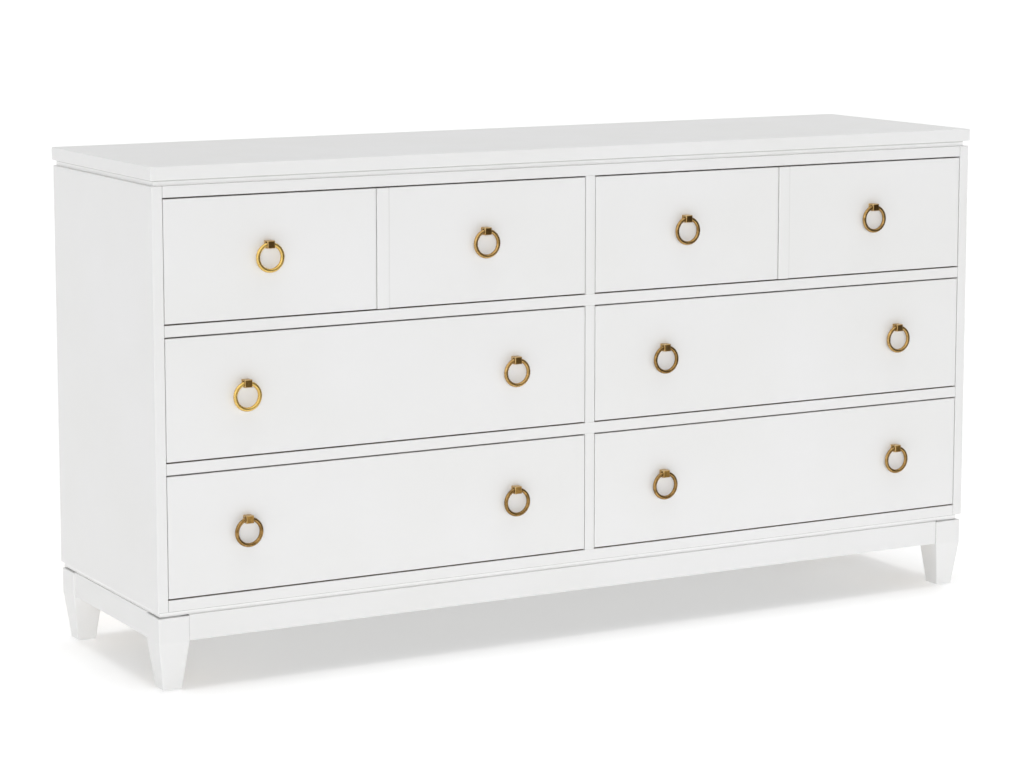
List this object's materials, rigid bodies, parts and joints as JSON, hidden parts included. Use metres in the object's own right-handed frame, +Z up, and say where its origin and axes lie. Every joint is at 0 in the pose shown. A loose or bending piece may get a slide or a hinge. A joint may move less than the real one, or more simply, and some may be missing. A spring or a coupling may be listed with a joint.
{
  "type": "campaign chest",
  "caption": "Long low chest of drawers in satin white paint, with inset dovetailed drawers, swinging brass ring pulls, shadow-line necks and short tapered legs.",
  "frame": {"origin": "on the floor, under the middle of the chest's overall box (ring pulls included)", "axes": "+Z up, +X along the width to the right as seen from the front, +Y to the back; the drawers open towards -Y"},
  "size_m": [1.68, 0.4726, 0.889],
  "materials": {
    "white_paint": "satin white lacquer",
    "drawer_wood": "clear-coated pale hardwood",
    "plywood": "bare thin plywood",
    "frame_wood": "bare planed softwood",
    "ring_brass": "polished, lightly toned",
    "post_brass": "toned antique",
    "glide_nylon": "matt"
  },
  "bodies": {
    "carcase": {"top_panel": "white_paint", "sub_top": "white_paint", "left_side_panel": "white_paint", "right_side_panel": "white_paint", "top_rail": "white_paint", "upper_rail": "white_paint", "lower_rail": "white_paint", "bottom_rail": "white_paint", "centre_dividers": "white_paint", "base_board": "white_paint", "front_apron": "white_paint", "rear_apron": "white_paint", "left_apron": "white_paint", "right_apron": "white_paint", "front_left_leg": "white_paint", "front_right_leg": "white_paint", "rear_right_leg": "white_paint", "rear_left_leg": "white_paint", "back_panel": "plywood", "back_rails": "frame_wood", "drawer_runners": "frame_wood", "drawer_stops": "frame_wood", "corner_blocks": "frame_wood", "foot_glides": "glide_nylon"},
    "bottom_left_drawer": {"bottom_left_drawer_front": "white_paint", "bottom_left_drawer_box": "drawer_wood", "bottom_left_drawer_bottom": "plywood", "bottom_left_drawer_pull_posts": "post_brass"},
    "bottom_left_drawer_left_ring": {"bottom_left_drawer_left_ring": "ring_brass"},
    "bottom_left_drawer_right_ring": {"bottom_left_drawer_right_ring": "ring_brass"},
    "bottom_right_drawer": {"bottom_right_drawer_front": "white_paint", "bottom_right_drawer_box": "drawer_wood", "bottom_right_drawer_bottom": "plywood", "bottom_right_drawer_pull_posts": "post_brass"},
    "bottom_right_drawer_left_ring": {"bottom_right_drawer_left_ring": "ring_brass"},
    "bottom_right_drawer_right_ring": {"bottom_right_drawer_right_ring": "ring_brass"},
    "middle_left_drawer": {"middle_left_drawer_front": "white_paint", "middle_left_drawer_box": "drawer_wood", "middle_left_drawer_bottom": "plywood", "middle_left_drawer_pull_posts": "post_brass"},
    "middle_left_drawer_left_ring": {"middle_left_drawer_left_ring": "ring_brass"},
    "middle_left_drawer_right_ring": {"middle_left_drawer_right_ring": "ring_brass"},
    "middle_right_drawer": {"middle_right_drawer_front": "white_paint", "middle_right_drawer_box": "drawer_wood", "middle_right_drawer_bottom": "plywood", "middle_right_drawer_pull_posts": "post_brass"},
    "middle_right_drawer_left_ring": {"middle_right_drawer_left_ring": "ring_brass"},
    "middle_right_drawer_right_ring": {"middle_right_drawer_right_ring": "ring_brass"},
    "top_left_drawer": {"top_left_drawer_front": "white_paint", "top_left_drawer_box": "drawer_wood", "top_left_drawer_bottom": "plywood", "top_left_drawer_pull_posts": "post_brass"},
    "top_left_drawer_left_ring": {"top_left_drawer_left_ring": "ring_brass"},
    "top_left_drawer_right_ring": {"top_left_drawer_right_ring": "ring_brass"},
    "top_right_drawer": {"top_right_drawer_front": "white_paint", "top_right_drawer_box": "drawer_wood", "top_right_drawer_bottom": "plywood", "top_right_drawer_pull_posts": "post_brass"},
    "top_right_drawer_left_ring": {"top_right_drawer_left_ring": "ring_brass"},
    "top_right_drawer_right_ring": {"top_right_drawer_right_ring": "ring_brass"}
  },
  "joints": [
    {"name": "bottom_left_drawer_slide", "type": "slide", "parent": "carcase", "child": "bottom_left_drawer", "axis": [0, -1, 0], "range_m": [0, 0.3]},
    {"name": "bottom_left_drawer_left_ring_swing", "type": "hinge", "parent": "bottom_left_drawer", "child": "bottom_left_drawer_left_ring", "pos_m": [-0.67375, -0.23035, 0.2855], "axis": [-1, 0, 0], "range_deg": [-7, 187]},
    {"name": "bottom_left_drawer_right_ring_swing", "type": "hinge", "parent": "bottom_left_drawer", "child": "bottom_left_drawer_right_ring", "pos_m": [-0.15475, -0.23035, 0.2855], "axis": [-1, 0, 0], "range_deg": [-7, 187]},
    {"name": "bottom_right_drawer_slide", "type": "slide", "parent": "carcase", "child": "bottom_right_drawer", "axis": [0, -1, 0], "range_m": [0, 0.3]},
    {"name": "bottom_right_drawer_left_ring_swing", "type": "hinge", "parent": "bottom_right_drawer", "child": "bottom_right_drawer_left_ring", "pos_m": [0.15475, -0.23035, 0.2855], "axis": [-1, 0, 0], "range_deg": [-7, 187]},
    {"name": "bottom_right_drawer_right_ring_swing", "type": "hinge", "parent": "bottom_right_drawer", "child": "bottom_right_drawer_right_ring", "pos_m": [0.67375, -0.23035, 0.2855], "axis": [-1, 0, 0], "range_deg": [-7, 187]},
    {"name": "middle_left_drawer_slide", "type": "slide", "parent": "carcase", "child": "middle_left_drawer", "axis": [0, -1, 0], "range_m": [0, 0.3]},
    {"name": "middle_left_drawer_left_ring_swing", "type": "hinge", "parent": "middle_left_drawer", "child": "middle_left_drawer_left_ring", "pos_m": [-0.67375, -0.23035, 0.518], "axis": [-1, 0, 0], "range_deg": [-7, 187]},
    {"name": "middle_left_drawer_right_ring_swing", "type": "hinge", "parent": "middle_left_drawer", "child": "middle_left_drawer_right_ring", "pos_m": [-0.15475, -0.23035, 0.518], "axis": [-1, 0, 0], "range_deg": [-7, 187]},
    {"name": "middle_right_drawer_slide", "type": "slide", "parent": "carcase", "child": "middle_right_drawer", "axis": [0, -1, 0], "range_m": [0, 0.3]},
    {"name": "middle_right_drawer_left_ring_swing", "type": "hinge", "parent": "middle_right_drawer", "child": "middle_right_drawer_left_ring", "pos_m": [0.15475, -0.23035, 0.518], "axis": [-1, 0, 0], "range_deg": [-7, 187]},
    {"name": "middle_right_drawer_right_ring_swing", "type": "hinge", "parent": "middle_right_drawer", "child": "middle_right_drawer_right_ring", "pos_m": [0.67375, -0.23035, 0.518], "axis": [-1, 0, 0], "range_deg": [-7, 187]},
    {"name": "top_left_drawer_slide", "type": "slide", "parent": "carcase", "child": "top_left_drawer", "axis": [0, -1, 0], "range_m": [0, 0.3]},
    {"name": "top_left_drawer_left_ring_swing", "type": "hinge", "parent": "top_left_drawer", "child": "top_left_drawer_left_ring", "pos_m": [-0.62938, -0.23035, 0.7505], "axis": [-1, 0, 0], "range_deg": [-7, 187]},
    {"name": "top_left_drawer_right_ring_swing", "type": "hinge", "parent": "top_left_drawer", "child": "top_left_drawer_right_ring", "pos_m": [-0.21513, -0.23035, 0.7505], "axis": [-1, 0, 0], "range_deg": [-7, 187]},
    {"name": "top_right_drawer_slide", "type": "slide", "parent": "carcase", "child": "top_right_drawer", "axis": [0, -1, 0], "range_m": [0, 0.3]},
    {"name": "top_right_drawer_left_ring_swing", "type": "hinge", "parent": "top_right_drawer", "child": "top_right_drawer_left_ring", "pos_m": [0.19912, -0.23035, 0.7505], "axis": [-1, 0, 0], "range_deg": [-7, 187]},
    {"name": "top_right_drawer_right_ring_swing", "type": "hinge", "parent": "top_right_drawer", "child": "top_right_drawer_right_ring", "pos_m": [0.61338, -0.23035, 0.7505], "axis": [-1, 0, 0], "range_deg": [-7, 187]}
  ]
}
